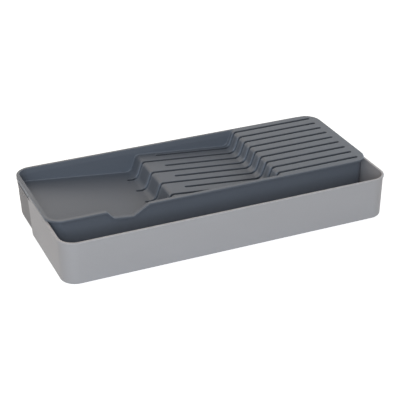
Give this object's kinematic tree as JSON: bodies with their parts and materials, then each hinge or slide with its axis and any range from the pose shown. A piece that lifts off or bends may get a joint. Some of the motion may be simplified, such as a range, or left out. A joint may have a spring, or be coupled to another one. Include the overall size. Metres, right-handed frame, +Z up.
{
  "type": "in-drawer knife organizer",
  "caption": "Shallow rounded drawer bin with a lift-out tray: stepped, slotted decks hold knife blades over a sloping handle well, and an open channel runs along the front.",
  "frame": {"origin": "on the drawer floor, under the middle of the bin", "axes": "+X along the bin, from the handle well to the blade tips; +Y from the open channel at the front to the back; +Z up"},
  "size_m": [0.4, 0.1906, 0.0558],
  "materials": {
    "bin_plastic": "light grey moulded plastic, satin",
    "tray_plastic": "dark grey moulded plastic, matt",
    "foot_rubber": "black non-slip rubber, matt"
  },
  "bodies": {
    "bin": {"bin": "bin_plastic", "foot_front_left": "foot_rubber", "foot_front_right": "foot_rubber", "foot_back_left": "foot_rubber", "foot_back_right": "foot_rubber"},
    "knife_tray": {"knife_tray": "tray_plastic"}
  },
  "joints": [
    {"name": "tray_lift", "type": "slide", "parent": "bin", "child": "knife_tray", "axis": [0, 0, 1], "range_m": [0, 0.06]}
  ]
}
